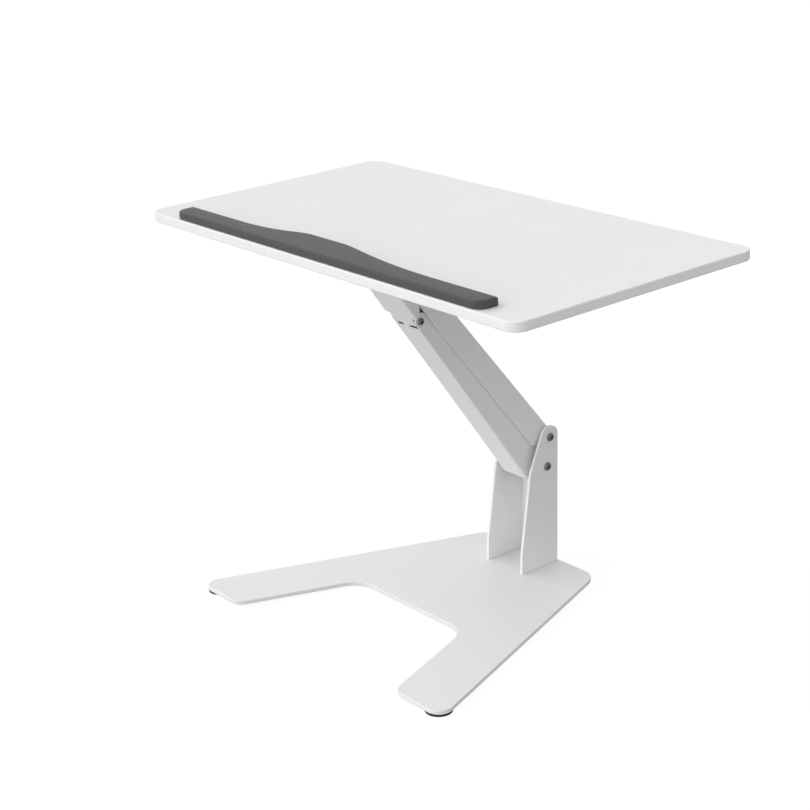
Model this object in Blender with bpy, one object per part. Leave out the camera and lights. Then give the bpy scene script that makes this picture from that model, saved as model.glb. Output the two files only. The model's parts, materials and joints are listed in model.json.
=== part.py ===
"""Height-adjustable drawing board: a board and palm rest on a parallel-arm lift over a V base.

Units are metres, +Z up, +X to the user's right, +Y away from the user.
The origin is on the desk, at the centre of the overall footprint.
Lengths below are written in millimetres and scaled by MM.
"""
import math

import bmesh
import bpy
from mathutils import Matrix, Vector

MM = 0.001
GAP = 0.3 * MM                     # clearance between pieces that rest on each other

# Board and palm rest, in the board's own tilted frame (origin: front top edge, centre)
BOARD_WIDTH = 711.2 * MM
BOARD_DEPTH = 392.6 * MM
BOARD_THICK = 12.7 * MM
BOARD_CORNER = 19 * MM
BOARD_EDGE = 1.6 * MM
BOARD_TILT = math.radians(0.983)
BOARD_FRONT_Y = -384.9 * MM        # from the base plate's rear edge
BOARD_TOP_Z = 502.6 * MM           # above the base plate's top
REST_HALF = 296 * MM
REST_THICK = 10 * MM
REST_FRONT = 2.6 * MM
REST_BACK = 32.3 * MM
REST_BULGE = 53.7 * MM

# Base plate, seen from above, measured from its rear edge
PLATE_THICK = 5.5 * MM
PLATE_REAR_HALF = 104.5 * MM
PLATE_LENGTH = 411 * MM
NOTCH_Y = -243.9 * MM
SPLAY = math.tan(math.radians(19.85))
FOOT_HEIGHT = 3.2 * MM
FOOT_RADIUS = 17.5 * MM
FRONT_FOOT = (227.2 * MM, -393.2 * MM)
REAR_FOOT = (78 * MM, -30 * MM)
PLATE_TOP = FOOT_HEIGHT + GAP + PLATE_THICK

# Column
COLUMN_HALF = 35.9 * MM
COLUMN_SHEET = 3.8 * MM
COLUMN_REAR = -4 * MM
COLUMN_INNER = COLUMN_HALF - COLUMN_SHEET
WEB_TOP = 186 * MM

# Linkage, in the side view: (y, z) from the plate's rear edge and top
UPPER_PIVOT = (-19.9 * MM, 189.6 * MM)
LOWER_PIVOT = (-25.0 * MM, 147.9 * MM)
LINK_LENGTH = 327.3 * MM
LINK_ANGLE = math.radians(129.97)
LOWER_HALF = 23.75 * MM            # the upper arm folds over the lower one,
UPPER_HALF = 27.5 * MM             # and the head bracket over the upper one
BRACKET_HALF = 31 * MM
LINK_SHEET = 2.5 * MM
PIVOT_RADIUS = 4 * MM
HEAD_PIN_RADIUS = 3.5 * MM
HOLE_PLAY = 0.3 * MM

# Head bracket's front web, level with the lower arm's: its slope and its distance before the pin,
# and how far up from the pin its wide part, its tongue and its stop tab begin
WEB_ANGLE = math.radians(125.95)
WEB_FRONT = 7.4 * MM
WIDE_FROM = 13 * MM
TONGUE_FROM = -4.2 * MM
TAB_FROM = -6.9 * MM
TONGUE_HALF = 20.7 * MM
LUG_HALF = 20.6 * MM
STOP_HALF = 6 * MM

# Gas spring, from the lower pivot to a cross pin on the upper link
SPRING_PIN_S = 250 * MM
SPRING_PIN_N = 8 * MM
SPRING_EYE_HALF = 6 * MM
CYLINDER_RADIUS = 9 * MM
CYLINDER_LENGTH = 150 * MM
ROD_RADIUS = 4 * MM

ROUND = 16                         # segments round a bolt or a washer


def move(point, distance, angle):
    return (point[0] + distance * math.cos(angle), point[1] + distance * math.sin(angle))


HEAD_LOWER = move(LOWER_PIVOT, LINK_LENGTH, LINK_ANGLE)
HEAD_UPPER = (UPPER_PIVOT[0] - LOWER_PIVOT[0], UPPER_PIVOT[1] - LOWER_PIVOT[1])  # from the lower pin
BOARD_BACK_Y = (BOARD_FRONT_Y + BOARD_DEPTH * math.cos(BOARD_TILT)
                + BOARD_THICK * math.sin(BOARD_TILT))
REAR_Y = (PLATE_LENGTH - BOARD_BACK_Y) / 2


def clear_scene():
    for obj in list(bpy.data.objects):
        bpy.data.objects.remove(obj, do_unlink=True)


def material(name, color, roughness, metallic=0.0):
    mat = bpy.data.materials.new(name)
    mat.use_nodes = True
    shader = mat.node_tree.nodes["Principled BSDF"]
    shader.inputs["Base Color"].default_value = (*color, 1)
    shader.inputs["Roughness"].default_value = roughness
    shader.inputs["Metallic"].default_value = metallic
    return mat


def empty(name, location, rotation=0.0, parent=None):
    """A frame for a body: location and a turn about X, both in the parent's frame."""
    obj = bpy.data.objects.new(name, None)
    bpy.context.collection.objects.link(obj)
    obj.location = location
    obj.rotation_euler.x = rotation
    obj.parent = parent
    return obj


def add(name, bm, mat, parent, place=Matrix()):
    """Put a bmesh into the scene as a named object, smooth where its faces nearly meet."""
    bmesh.ops.recalc_face_normals(bm, faces=bm.faces)
    mesh = bpy.data.meshes.new(name)
    bm.to_mesh(mesh)
    bm.free()
    mesh.shade_smooth()
    mesh.set_sharp_from_angle(angle=math.radians(35))
    if mat:
        mesh.materials.append(mat)
    obj = bpy.data.objects.new(name, mesh)
    bpy.context.collection.objects.link(obj)
    obj.parent = parent
    obj.matrix_local = place
    return obj


def arc(center, radius, start, end, steps):
    """Points on an arc; the angles are in degrees."""
    angles = [math.radians(start + (end - start) * i / steps) for i in range(steps + 1)]
    return [move(center, radius, a) for a in angles]


def rounded(corners, steps=5):
    """Outline through corners (a, b, radius), each rounded by an arc of that radius."""
    outline = []
    for i, (a, b, radius) in enumerate(corners):
        here = Vector((a, b))
        before = (Vector(corners[i - 1][:2]) - here).normalized()
        after = (Vector(corners[(i + 1) % len(corners)][:2]) - here).normalized()
        if radius == 0:
            outline.append((a, b))
            continue
        half = before.angle(after) / 2
        center = here + (before + after).normalized() * radius / math.sin(half)
        first = here + before * radius / math.tan(half) - center
        last = here + after * radius / math.tan(half) - center
        turn = first.angle_signed(last)
        for k in range(steps + 1):
            spoke = first.copy()
            spoke.rotate(Matrix.Rotation(-turn * k / steps, 2))
            outline.append(tuple(center + spoke))
    return outline


def bezier(start, handle_a, handle_b, end, steps):
    points = []
    for i in range(steps + 1):
        t = i / steps
        weights = ((1 - t) ** 3, 3 * t * (1 - t) ** 2, 3 * t * t * (1 - t), t ** 3)
        corners = (start, handle_a, handle_b, end)
        points.append(tuple(sum(w * c[k] for w, c in zip(weights, corners)) for k in (0, 1)))
    return points


def prism(outline, low, high, axis="Z", bends=(), bend_radius=0.0):
    """Extrude an outline along Z, or a (y, z) outline along X.

    bends lists the outline segments whose two end edges are rounded, as a folded sheet is.
    """
    def point(p, h):
        return (p[0], p[1], h) if axis == "Z" else (h, p[0], p[1])

    bm = bmesh.new()
    rows = [[bm.verts.new(point(p, h)) for p in outline] for h in (low, high)]
    bm.faces.new(rows[0])
    bm.faces.new(rows[1])
    count = len(outline)
    for i in range(count):
        j = (i + 1) % count
        bm.faces.new((rows[0][i], rows[0][j], rows[1][j], rows[1][i]))
    edges = [bm.edges.get((row[i], row[(i + 1) % count])) for row in rows for i in bends]
    if edges:
        bmesh.ops.bevel(bm, geom=edges, offset=bend_radius, segments=3, profile=0.5,
                        affect="EDGES")
    return bm


def box(low, high):
    corners = [(low[0], low[1]), (high[0], low[1]), (high[0], high[1]), (low[0], high[1])]
    return prism(corners, low[2], high[2])


def turned(profile, segments=ROUND, hollow=False):
    """Turn (radius, height) points about Z; a hollow profile closes on itself."""
    bm = bmesh.new()
    rings = []
    for radius, height in profile:
        if radius == 0:
            rings.append([bm.verts.new((0, 0, height))])
            continue
        angles = [2 * math.pi * k / segments for k in range(segments)]
        spots = [(radius * math.cos(a), radius * math.sin(a), height) for a in angles]
        rings.append([bm.verts.new(spot) for spot in spots])
    pairs = list(zip(rings, rings[1:]))
    if hollow:
        pairs.append((rings[-1], rings[0]))
    for upper, lower in pairs:
        for k in range(segments):
            n = (k + 1) % segments
            if len(upper) == 1:
                bm.faces.new((upper[0], lower[k], lower[n]))
            elif len(lower) == 1:
                bm.faces.new((upper[k], lower[0], upper[n]))
            else:
                bm.faces.new((upper[k], lower[k], lower[n], upper[n]))
    return bm


def rod(radius, low, high, segments=ROUND):
    return turned([(0, high), (radius, high), (radius, low), (0, low)], segments)


def ring(outer, inner, low, high, segments=ROUND):
    return turned([(outer, high), (outer, low), (inner, low), (inner, high)], segments, hollow=True)


def along_x(x, y, z, sign=1):
    """Place a turned piece with its axis along X, pointing to +X or -X."""
    return Matrix.Translation((x, y, z)) @ Matrix.Rotation(sign * math.pi / 2, 4, "Y")


def boolean(target, tool, operation="DIFFERENCE"):
    """Cut or join with a hidden guide object, using the exact solver."""
    tool.hide_render = True
    tool.display_type = "WIRE"
    modifier = target.modifiers.new(tool.name, "BOOLEAN")
    modifier.operation = operation
    modifier.solver = "EXACT"
    modifier.object = tool


def drill(target, parent, spots, radius, low, high, axis="X"):
    """Cut round holes at (a, b) spots, along X or Z, from low to high."""
    for i, (a, b) in enumerate(spots):
        place = along_x(0, a, b) if axis == "X" else Matrix.Translation((a, b, 0))
        name = f"{target.name}_drill_{len(target.modifiers)}_{i}"
        boolean(target, add(name, rod(radius, low, high), None, parent, place))


def soften(target, width, segments=1):
    """Round the sharp rims of a plate before anything is cut from it."""
    modifier = target.modifiers.new("edge", "BEVEL")
    modifier.width = width
    modifier.segments = segments
    modifier.limit_method = "ANGLE"
    modifier.angle_limit = math.radians(60)


def hex_socket(target, parent, place, across, top, depth):
    """Cut a hexagonal key socket down from height top along the piece's own axis."""
    key = rod(across / math.sqrt(3), top - depth, top + 1 * MM, 6)
    boolean(target, add(f"{target.name}_key", key, None, parent, place))


# ---------------------------------------------------------------- base


def base_plate(frame, mats):
    tip = -PLATE_LENGTH
    outer = PLATE_REAR_HALF - SPLAY * tip
    inner = PLATE_REAR_HALF + SPLAY * (NOTCH_Y - tip)
    right = [(PLATE_REAR_HALF, 0, 30 * MM), (outer, tip, 18 * MM), (inner, tip, 20 * MM),
             (PLATE_REAR_HALF, NOTCH_Y, 36 * MM)]
    left = [(-x, y, r) for x, y, r in reversed(right)]
    outline = rounded(right + left, steps=7)
    plate = add("base_plate", prism(outline, -PLATE_THICK, 0), mats["steel_white"], frame)
    soften(plate, 0.9 * MM)


def column(frame, mats):
    """One folded sheet, two cheeks and the web that joins them behind, standing on the plate."""
    outer = rounded([(-COLUMN_HALF, COLUMN_REAR, 5.5 * MM), (-COLUMN_HALF, -90 * MM, 0),
                     (COLUMN_HALF, -90 * MM, 0), (COLUMN_HALF, COLUMN_REAR, 5.5 * MM)], steps=4)
    body = add("column", prism(outer, GAP, 215 * MM), mats["steel_white"], frame)
    inner_rear = COLUMN_REAR - COLUMN_SHEET
    inner = rounded([(-COLUMN_INNER, inner_rear, 1.7 * MM), (-COLUMN_INNER, -110 * MM, 0),
                     (COLUMN_INNER, -110 * MM, 0), (COLUMN_INNER, inner_rear, 1.7 * MM)], steps=3)
    hollow = add("column_inside", prism(inner, -10 * MM, 230 * MM), None, frame)
    boolean(body, hollow)
    profile = [(COLUMN_REAR + 1 * MM, -5 * MM), (-73.9 * MM, -5 * MM), (-73.7 * MM, 29.3 * MM),
               (-58.6 * MM, 133.2 * MM), (-54.5 * MM, 148.4 * MM), (-35.6 * MM, 187.9 * MM)]
    profile += arc(UPPER_PIVOT, 15.9 * MM, 152, 12, 10)
    profile += [(COLUMN_REAR + 1 * MM, UPPER_PIVOT[1])]
    side = add("column_profile", prism(profile, -50 * MM, 50 * MM, "X"), None, frame)
    boolean(body, side, "INTERSECT")
    slot = box((-COLUMN_INNER + 1.7 * MM, -15 * MM, WEB_TOP), (COLUMN_INNER - 1.7 * MM, 10 * MM, 230 * MM))
    boolean(body, add("column_web_top", slot, None, frame))
    drill(body, frame, [UPPER_PIVOT, LOWER_PIVOT], PIVOT_RADIUS + HOLE_PLAY, -60 * MM, 60 * MM)


def feet(frame, mats):
    """Round rubber pads stuck under the leg tips and the rear corners."""
    spots = {"foot_front_right": FRONT_FOOT, "foot_rear_right": REAR_FOOT}
    spots.update({n.replace("right", "left"): (-x, y) for n, (x, y) in list(spots.items())})
    low = -PLATE_TOP
    top = low + FOOT_HEIGHT
    profile = [(0, top), (FOOT_RADIUS - 0.6 * MM, top), (FOOT_RADIUS, top - 0.6 * MM),
               (FOOT_RADIUS, low + 0.8 * MM), (FOOT_RADIUS - 0.8 * MM, low), (0, low)]
    for name, (x, y) in spots.items():
        add(name, turned(profile, 24), mats["rubber"], frame, Matrix.Translation((x, y, 0)))


def button_bolt(name, frame, mats, pivot, radius, head_radius, head_at, end_at, sign=1):
    """A button-head bolt along X: the head's inner face at head_at, the shank's end at end_at."""
    low = -(head_at - end_at)
    profile = [(0, 3.1 * MM), (head_radius * 0.62, 3.1 * MM), (head_radius * 0.88, 2.2 * MM),
               (head_radius, 0.9 * MM), (head_radius, 0), (radius, 0), (radius, low), (0, low)]
    place = along_x(sign * head_at, pivot[0], pivot[1], sign)
    bolt = add(name, turned(profile), mats["bolt_dark"], frame, place)
    hex_socket(bolt, frame, place, 1.1 * head_radius * 0.75, 3.1 * MM, 1.6 * MM)
    return bolt


def nut(name, frame, mats, pivot, bore, across, low, high):
    """A hexagonal nut along X between low and high."""
    clear = (bore + HOLE_PLAY) / math.cos(math.pi / 6)
    corner = across / math.sqrt(3)
    profile = [(corner - 0.7 * MM, high), (corner, high - 0.6 * MM), (corner, low), (clear, low),
               (clear, high)]
    add(name, turned(profile, 6, hollow=True), mats["bolt_dark"], frame, along_x(0, *pivot))


def tube(name, frame, mat, pivot, outer, inner, low, high):
    """A washer, bush or spacer along X between low and high."""
    add(name, ring(outer, inner, low, high), mat, frame, along_x(0, *pivot))


def column_pivots(frame, mats):
    bore = PIVOT_RADIUS + HOLE_PLAY
    face = COLUMN_HALF + GAP
    for label, pivot in (("upper", UPPER_PIVOT), ("lower", LOWER_PIVOT)):
        button_bolt(f"{label}_pivot_bolt", frame, mats, pivot, PIVOT_RADIUS, 6 * MM, face, -face - 7 * MM)
        nut(f"{label}_pivot_nut", frame, mats, pivot, PIVOT_RADIUS, 13 * MM, -face - 6 * MM, -face)
    for side, sign in (("right", 1), ("left", -1)):
        between(f"upper_pivot_spacer_{side}", frame, mats["nylon"], UPPER_PIVOT, 9 * MM, bore,
                UPPER_HALF, COLUMN_INNER, sign)
        between(f"lower_pivot_spacer_{side}", frame, mats["nylon"], LOWER_PIVOT, 8 * MM, bore,
                LOWER_HALF, COLUMN_INNER, sign)
        between(f"spring_spacer_{side}", frame, mats["nylon"], LOWER_PIVOT, 7 * MM, bore,
                SPRING_EYE_HALF, LOWER_HALF - LINK_SHEET, sign)


def between(name, frame, mat, pivot, outer, inner, near, far, sign):
    """A ring that fills the space from near to far on one side of the middle, with play."""
    ends = sorted((sign * (near + GAP), sign * (far - GAP)))
    tube(name, frame, mat, pivot, outer, inner, *ends)


# ---------------------------------------------------------------- arms


def channel(name, frame, mat, outline, inside, half, web):
    """A folded channel: a side outline at full width, less the outline of its inside.

    web is the outline segment that is the web's outer face; the inside's first segment is its inner.
    """
    bend = 3 * MM
    body = add(name, prism(outline, -half, half, "X", (web,), bend), mat, frame)
    cheek = half - LINK_SHEET
    hollow = prism(inside, -cheek, cheek, "X", (0,), bend - LINK_SHEET + 0.3 * MM)
    boolean(body, add(f"{name}_inside", hollow, None, frame))
    return body


def lower_link(frame, mats):
    """The lower arm opens towards the upper one; its web tapers in and stops short of the head pin."""
    web_start = (5 * MM, 29.6 * MM)
    web_end = (319.3 * MM, 7.65 * MM)
    slope = (web_end[1] - web_start[1]) / (web_end[0] - web_start[0])
    outline = [web_start, web_end]
    outline += arc((LINK_LENGTH, 0), 7.5 * MM, 100, 50, 4)
    outline += arc((LINK_LENGTH, -1.6 * MM), 10.4 * MM, 20, -90, 7)
    outline += arc((0, 0), 12 * MM, -90, -205, 8)
    inner = LINK_SHEET * math.hypot(1, slope)
    low, high = -30 * MM, LINK_LENGTH + 30 * MM
    inside = [(s, web_start[1] - inner + slope * (s - web_start[0])) for s in (low, high)]
    inside += [(high, -60 * MM), (low, -60 * MM)]
    link = channel("lower_link", frame, mats["steel_white"], outline, inside, LOWER_HALF, 0)
    cheek = LOWER_HALF - LINK_SHEET
    opening = box((-cheek, web_end[0], -1 * MM), (cheek, LINK_LENGTH + 20 * MM, 20 * MM))
    boolean(link, add("lower_link_web_end", opening, None, frame))
    relief = box((-50 * MM, web_end[0], 4.4 * MM), (50 * MM, web_end[0] + 2.2 * MM, 20 * MM))
    boolean(link, add("lower_link_relief", relief, None, frame))
    drill(link, frame, [(0, 0)], PIVOT_RADIUS + HOLE_PLAY, -50 * MM, 50 * MM)
    drill(link, frame, [(LINK_LENGTH, 0)], HEAD_PIN_RADIUS + HOLE_PLAY, -50 * MM, 50 * MM)


def upper_link(frame, mats):
    """The upper arm opens down over the lower one, with rounded ends about its two pivots."""
    web = -10.6 * MM
    end = 11.5 * MM
    meet = math.degrees(math.asin(-web / end))
    outline = arc((LINK_LENGTH, 0), end, -meet, 60, 7)
    outline += [(325 * MM, 19.5 * MM), (9 * MM, 24.3 * MM), (4.5 * MM, 22.3 * MM), (2 * MM, 19 * MM)]
    outline += arc((0, 0), end, 110, 180 + meet, 7)
    low, high = -30 * MM, LINK_LENGTH + 30 * MM
    inside = [(low, web + LINK_SHEET), (high, web + LINK_SHEET), (high, 60 * MM), (low, 60 * MM)]
    link = channel("upper_link", frame, mats["steel_white"], outline, inside, UPPER_HALF,
                   len(outline) - 1)
    drill(link, frame, [(0, 0), (LINK_LENGTH, 0)], PIVOT_RADIUS + HOLE_PLAY, -50 * MM, 50 * MM)


def spring_pin(frame, mats):
    """The cross pin inside the upper arm that the gas spring pushes on, and its two sleeves."""
    inside = UPPER_HALF - LINK_SHEET - GAP
    spot = (SPRING_PIN_S, SPRING_PIN_N)
    place = along_x(0, *spot)
    add("spring_cross_pin", rod(PIVOT_RADIUS, -inside, inside), mats["zinc"], frame, place)
    for side, sign in (("right", 1), ("left", -1)):
        between(f"spring_pin_sleeve_{side}", frame, mats["nylon"], spot, 7.5 * MM,
                PIVOT_RADIUS + HOLE_PLAY, SPRING_EYE_HALF, inside, sign)


def spring_angle_and_length():
    pin = move(UPPER_PIVOT, SPRING_PIN_S, LINK_ANGLE)
    pin = move(pin, SPRING_PIN_N, LINK_ANGLE + math.pi / 2)
    dy, dz = pin[0] - LOWER_PIVOT[0], pin[1] - LOWER_PIVOT[1]
    return math.atan2(dz, dy), math.hypot(dy, dz)


def eye(name, frame, mat, at, outer, bore, neck_from, neck_to, neck_radius):
    """A flat-sided eye across the spring's axis, with a round neck along it."""
    half = SPRING_EYE_HALF
    ring_part = add(name, rod(outer, -half, half, 24), mat, frame, along_x(0, at, 0))
    axis = Matrix.Rotation(-math.pi / 2, 4, "X")
    neck = add(f"{name}_neck", rod(neck_radius, neck_from, neck_to, 16), None, frame, axis)
    boolean(ring_part, neck, "UNION")
    drill(ring_part, frame, [(at, 0)], bore, -20 * MM, 20 * MM)


def gas_spring(rod_frame, cylinder_frame, length, mats):
    """Rod and eye on the lower pivot; cylinder and eye reach the cross pin on the upper arm."""
    axis = Matrix.Rotation(-math.pi / 2, 4, "X")
    eye("spring_rod_eye", rod_frame, mats["zinc"], 0, 9 * MM, PIVOT_RADIUS + HOLE_PLAY,
        5 * MM, 18 * MM, 5.5 * MM)
    start = length - 20 * MM - CYLINDER_LENGTH
    add("spring_rod", rod(ROD_RADIUS, 18 * MM + GAP, start + 60 * MM, 16), mats["chrome"], rod_frame, axis)
    bore = ROD_RADIUS + HOLE_PLAY
    end = start + CYLINDER_LENGTH
    profile = [(0, end), (CYLINDER_RADIUS, end), (CYLINDER_RADIUS, start + 1.5 * MM),
               (CYLINDER_RADIUS - 1.5 * MM, start), (bore, start), (bore, start + 118 * MM),
               (0, start + 118 * MM)]
    add("spring_cylinder", turned(profile, 24), mats["spring_black"], cylinder_frame, axis)
    eye("spring_cylinder_eye", cylinder_frame, mats["zinc"], length, 10.6 * MM, 7.2 * MM,
        end + GAP, length - 8 * MM, 5.5 * MM)


# ---------------------------------------------------------------- head


def web_point(up, depth=0.0):
    """A point in the head frame: up the bracket's web from the lower pin, depth behind its face."""
    return move(move((0, 0), up, WEB_ANGLE), WEB_FRONT - depth, WEB_ANGLE + math.pi / 2)


def head_bracket(frame, board_frame, mats):
    """A folded channel between the arms' ends and the board, in a frame at the lower head pin.

    Its web steps in to a tongue between the lower arm's cheeks, with two lugs for the pin behind
    it and a stop tab below; its top is turned out into two tabs.
    """
    top = web_point(120 * MM)
    outline = [web_point(TAB_FROM), top, (HEAD_UPPER[0] + 9 * MM, top[1])]
    outline += arc(HEAD_UPPER, 13 * MM, 0, -75, 5)
    outline += [(-7.3 * MM, 25 * MM), (-7.3 * MM, 12 * MM), web_point(TAB_FROM, 4 * MM)]
    inside = [web_point(-50 * MM, LINK_SHEET), web_point(160 * MM, LINK_SHEET),
              (90 * MM, 130 * MM), (90 * MM, -60 * MM)]
    body = channel("head_bracket", frame, mats["steel_white"], outline, inside, BRACKET_HALF, 0)
    for side, sign in (("right", 1), ("left", -1)):
        step_bracket(body, frame, f"shoulder_{side}", sign, TONGUE_HALF, WIDE_FROM, 40 * MM)
        step_bracket(body, frame, f"stop_{side}", sign, STOP_HALF, TONGUE_FROM, 8 * MM)
        bracket_lug(body, frame, side, sign)
        bracket_tab(body, board_frame, side, sign)
    under = box((-90 * MM, -30 * MM, -BOARD_THICK - 3 * MM - 2 * GAP), (90 * MM, 260 * MM, 20 * MM))
    boolean(body, add("head_bracket_top_trim", under, None, board_frame))
    drill(body, frame, [(0, 0)], HEAD_PIN_RADIUS + HOLE_PLAY, -50 * MM, 50 * MM)
    drill(body, frame, [HEAD_UPPER], PIVOT_RADIUS + HOLE_PLAY, -50 * MM, 50 * MM)


def step_bracket(body, frame, label, sign, inner, up_to, depth):
    """Cut away the bracket outside x = inner and below a height on its web."""
    low = -20 * MM
    front = -3 * MM
    outline = [web_point(low, front), web_point(up_to, front), web_point(up_to, depth),
               web_point(low, depth)]
    ends = sorted((sign * inner, sign * (BRACKET_HALF + 2 * MM)))
    boolean(body, add(f"head_bracket_{label}", prism(outline, *ends, "X"), None, frame))


def bracket_lug(body, frame, side, sign):
    """A lug turned back from the tongue's edge, round the lower pin."""
    outline = [web_point(11 * MM, 2.2 * MM), *arc((0, 0), 8 * MM, 80, -88, 8),
               web_point(-4.4 * MM, 2.9 * MM), web_point(-3.6 * MM, 2.2 * MM)]
    ends = sorted((sign * (LUG_HALF - LINK_SHEET), sign * LUG_HALF))
    lug = add(f"head_bracket_lug_{side}", prism(outline, *ends, "X"), None, frame)
    boolean(body, lug, "UNION")


def bracket_tab(body, board_frame, side, sign):
    """A tab turned outwards under the mounting plate, joined to the cheek."""
    top = -BOARD_THICK - 3 * MM - 2 * GAP
    low_x, high_x = sorted((sign * (BRACKET_HALF - 2 * MM), sign * 56 * MM))
    tab = box((low_x, 88 * MM, top - LINK_SHEET), (high_x, 168 * MM, top))
    boolean(body, add(f"head_bracket_tab_{side}", tab, None, board_frame), "UNION")
    spots = [(sign * 45 * MM, y) for y in (102 * MM, 154 * MM)]
    drill(body, board_frame, spots, 3.3 * MM, top - 10 * MM, top + 5 * MM, "Z")


def bracket_bolt_spots():
    return [(x, y) for x in (-45 * MM, 45 * MM) for y in (102 * MM, 154 * MM)]


def board_screw_spots():
    return [(x, y) for x in (-105 * MM, 105 * MM) for y in (84 * MM, 155 * MM, 226 * MM)]


def head_pivots(frame, lower_frame, mats):
    """The lower bolt and its thin nut belong to the lower arm, the rest to the head."""
    pin = (LINK_LENGTH, 0)
    face = LOWER_HALF + GAP
    button_bolt("head_lower_bolt", lower_frame, mats, pin, HEAD_PIN_RADIUS, 4.8 * MM, face,
                -face - 2.8 * MM)
    nut("head_lower_nut", lower_frame, mats, pin, HEAD_PIN_RADIUS, 9.4 * MM, -face - 2.4 * MM, -face)
    inside = LUG_HALF - LINK_SHEET - GAP
    tube("head_lower_sleeve", frame, mats["nylon"], (0, 0), 4.6 * MM, HEAD_PIN_RADIUS + HOLE_PLAY,
         -inside, inside)
    face = BRACKET_HALF + GAP
    button_bolt("head_upper_bolt", frame, mats, HEAD_UPPER, PIVOT_RADIUS, 6 * MM, face,
                -face - 7 * MM)
    nut("head_upper_nut", frame, mats, HEAD_UPPER, PIVOT_RADIUS, 13 * MM, -face - 6 * MM, -face)
    for side, sign in (("right", 1), ("left", -1)):
        between(f"head_upper_washer_{side}", frame, mats["nylon"], HEAD_UPPER, 8 * MM,
                PIVOT_RADIUS + HOLE_PLAY, UPPER_HALF, BRACKET_HALF - LINK_SHEET, sign)


def mounting_plate(board_frame, mats):
    top = -BOARD_THICK - GAP
    corners = [(-125 * MM, 70 * MM, 10 * MM), (125 * MM, 70 * MM, 10 * MM), (125 * MM, 240 * MM, 10 * MM),
               (-125 * MM, 240 * MM, 10 * MM)]
    plate = add("mounting_plate", prism(rounded(corners, 4), top - 3 * MM, top), mats["steel_white"],
                board_frame)
    drill(plate, board_frame, bracket_bolt_spots(), 3.3 * MM, top - 10 * MM, top + 5 * MM, "Z")
    drill(plate, board_frame, board_screw_spots(), 2.4 * MM, top - 10 * MM, top + 5 * MM, "Z")


def plate_fixings(board_frame, mats):
    """Button bolts hold the bracket to the plate, and wood screws hold the plate to the board."""
    tab_low = -BOARD_THICK - 3 * MM - 2 * GAP - LINK_SHEET
    for i, (x, y) in enumerate(bracket_bolt_spots()):
        profile = [(0, 5.3 * MM), (3 * MM, 5.3 * MM), (3 * MM, 0), (5.5 * MM, 0), (5.5 * MM, -0.9 * MM),
                   (3.6 * MM, -3 * MM), (0, -3 * MM)]
        place = Matrix.Translation((x, y, tab_low - GAP))
        add(f"bracket_bolt_{i + 1}", turned(profile, 16), mats["bolt_dark"], board_frame, place)
    plate_low = -BOARD_THICK - GAP - 3 * MM
    for i, (x, y) in enumerate(board_screw_spots()):
        profile = [(0, 12.5 * MM), (2 * MM, 10 * MM), (2 * MM, 0), (4.2 * MM, 0), (4 * MM, -1 * MM),
                   (2.4 * MM, -2.2 * MM), (0, -2.2 * MM)]
        place = Matrix.Translation((x, y, plate_low - GAP))
        add(f"board_screw_{i + 1}", turned(profile, 12), mats["zinc"], board_frame, place)


def board(board_frame, mats):
    half = BOARD_WIDTH / 2
    corners = [(-half, 0, BOARD_CORNER), (half, 0, BOARD_CORNER), (half, BOARD_DEPTH, BOARD_CORNER),
               (-half, BOARD_DEPTH, BOARD_CORNER)]
    panel = add("board", prism(rounded(corners, 7), -BOARD_THICK, 0), mats["board_white"], board_frame)
    soften(panel, BOARD_EDGE)
    low = -BOARD_THICK - 5 * MM
    drill(panel, board_frame, board_screw_spots(), 2.3 * MM, low, -3 * MM, "Z")
    drill(panel, board_frame, bracket_bolt_spots(), 3.4 * MM, low, -BOARD_THICK + 2 * MM, "Z")


def palm_rest(board_frame, mats):
    """A strip along the front edge whose back edge swells into a wide shallow bulge."""
    back = bezier((-180 * MM, REST_BACK), (-105 * MM, REST_BACK + 1 * MM),
                  (-92 * MM, REST_BULGE), (-62 * MM, REST_BULGE), 10)
    back += bezier((0, REST_BULGE), (22 * MM, REST_BULGE), (85 * MM, REST_BACK),
                   (185 * MM, REST_BACK), 10)
    corners = [(-REST_HALF, REST_BACK, 3 * MM), *((x, y, 0) for x, y in back),
               (REST_HALF, REST_BACK, 3 * MM), (REST_HALF, REST_FRONT, 15 * MM),
               (-REST_HALF, REST_FRONT, 15 * MM)]
    outline = rounded(corners, 5)
    pad = add("palm_rest", prism(outline, GAP, GAP + REST_THICK), mats["pad_grey"], board_frame)
    soften(pad, 1.6 * MM)


def materials():
    return {
        "steel_white": material("steel_white", (0.80, 0.80, 0.80), 0.45, 0.0),
        "board_white": material("board_white", (0.84, 0.84, 0.84), 0.40),
        "pad_grey": material("pad_grey", (0.09, 0.09, 0.095), 0.70),
        "rubber": material("rubber", (0.02, 0.02, 0.02), 0.80),
        "bolt_dark": material("bolt_dark", (0.12, 0.12, 0.13), 0.35, 0.9),
        "zinc": material("zinc", (0.55, 0.56, 0.58), 0.35, 1.0),
        "chrome": material("chrome", (0.75, 0.76, 0.78), 0.15, 1.0),
        "spring_black": material("spring_black", (0.03, 0.03, 0.03), 0.40),
        "nylon": material("nylon", (0.70, 0.69, 0.65), 0.50),
    }


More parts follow.
